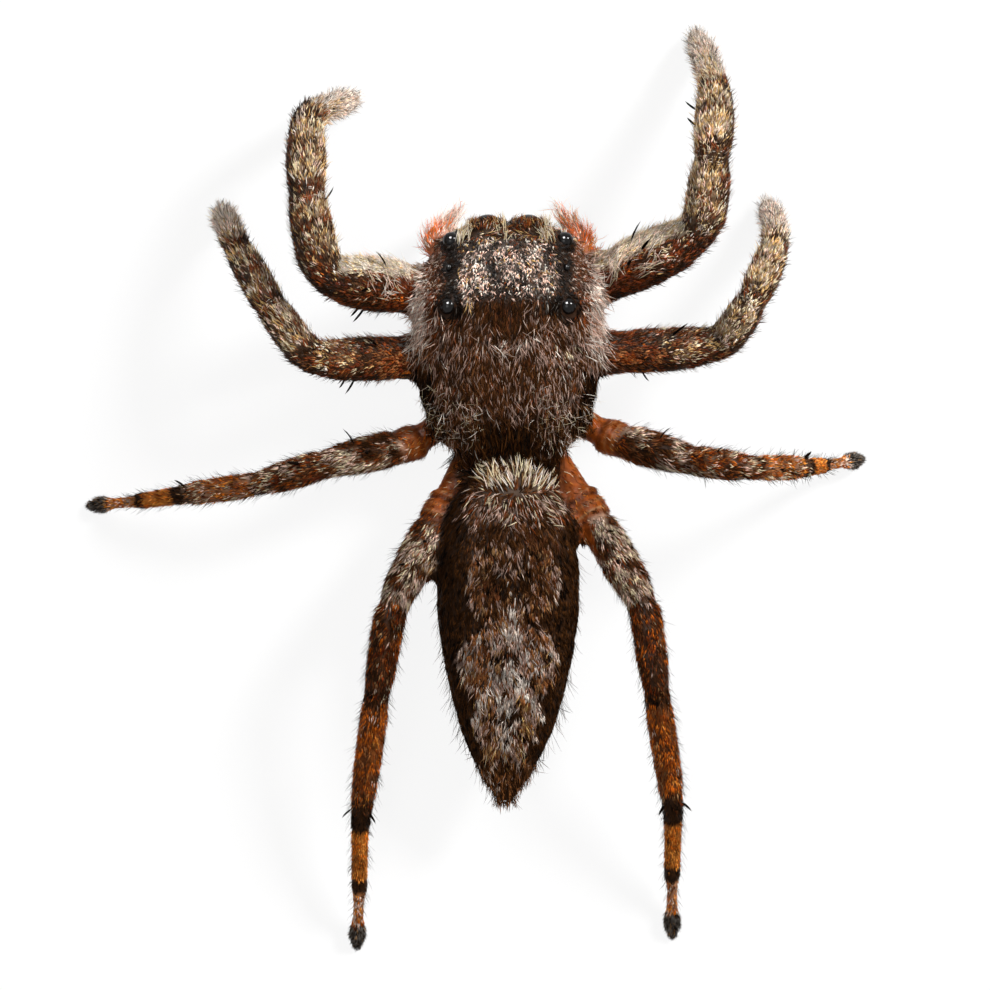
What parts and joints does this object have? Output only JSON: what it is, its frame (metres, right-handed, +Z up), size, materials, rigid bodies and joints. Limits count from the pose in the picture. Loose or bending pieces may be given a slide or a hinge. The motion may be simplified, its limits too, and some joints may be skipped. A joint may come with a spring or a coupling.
{
  "type": "jumping spider",
  "caption": "Life-size still model of a tan jumping spider standing with its legs spread, furred body, scalloped abdomen band and forward-facing eyes.",
  "frame": {"origin": "on the floor under the middle of the spider's box", "axes": "+Z up, -Y ahead of the face, +X to the spider's own left"},
  "size_m": [0.0148, 0.0174, 0.003],
  "materials": {
    "carapace_fur": "short grey-brown fur with paler hairs over a dark brown shell",
    "abdomen_fur": "short dark brown fur with a pale scalloped band down the middle",
    "underside_fur": "thin dark fur over a brown shell",
    "front_leg_scales": "gold and cream scale hairs in bands over dark brown",
    "hind_leg_hair": "mottled cream and brown hair, orange-brown with dark rings further out",
    "foot_hair": "thin orange-brown hair with dark rings and a grey claw tuft",
    "palp_fur": "orange-red fur with pale tips",
    "jaw": "dark polished shell with a few hairs",
    "eye": "clear black gloss"
  },
  "bodies": {
    "root": {"abdomen": "abdomen_fur", "carapace": "carapace_fur", "eye_front_middle_left": "eye", "eye_front_middle_right": "eye", "eye_front_side_left": "eye", "eye_front_side_right": "eye", "eye_rear_side_left": "eye", "eye_rear_side_right": "eye", "eye_rear_small_left": "eye", "eye_rear_small_right": "eye", "jaw_left": "jaw", "jaw_right": "jaw", "leg_1_left_femur": "front_leg_scales", "leg_1_left_metatarsus": "foot_hair", "leg_1_left_patella": "front_leg_scales", "leg_1_left_tarsus": "foot_hair", "leg_1_left_tibia": "front_leg_scales", "leg_1_right_femur": "front_leg_scales", "leg_1_right_metatarsus": "foot_hair", "leg_1_right_patella": "front_leg_scales", "leg_1_right_tarsus": "foot_hair", "leg_1_right_tibia": "front_leg_scales", "leg_2_left_femur": "front_leg_scales", "leg_2_left_metatarsus": "foot_hair", "leg_2_left_patella": "front_leg_scales", "leg_2_left_tarsus": "foot_hair", "leg_2_left_tibia": "front_leg_scales", "leg_2_right_femur": "front_leg_scales", "leg_2_right_metatarsus": "foot_hair", "leg_2_right_patella": "front_leg_scales", "leg_2_right_tarsus": "foot_hair", "leg_2_right_tibia": "front_leg_scales", "leg_3_left_femur": "hind_leg_hair", "leg_3_left_metatarsus": "foot_hair", "leg_3_left_patella": "hind_leg_hair", "leg_3_left_tarsus": "foot_hair", "leg_3_left_tibia": "hind_leg_hair", "leg_3_right_femur": "hind_leg_hair", "leg_3_right_metatarsus": "foot_hair", "leg_3_right_patella": "hind_leg_hair", "leg_3_right_tarsus": "foot_hair", "leg_3_right_tibia": "hind_leg_hair", "leg_4_left_femur": "hind_leg_hair", "leg_4_left_metatarsus": "foot_hair", "leg_4_left_patella": "hind_leg_hair", "leg_4_left_tarsus": "foot_hair", "leg_4_left_tibia": "hind_leg_hair", "leg_4_right_femur": "hind_leg_hair", "leg_4_right_metatarsus": "foot_hair", "leg_4_right_patella": "hind_leg_hair", "leg_4_right_tarsus": "foot_hair", "leg_4_right_tibia": "hind_leg_hair", "palp_left_arm": "palp_fur", "palp_left_tip": "palp_fur", "palp_right_arm": "palp_fur", "palp_right_tip": "palp_fur", "spinnerets": "underside_fur", "sternum": "underside_fur", "waist": "underside_fur"}
  },
  "joints": []
}
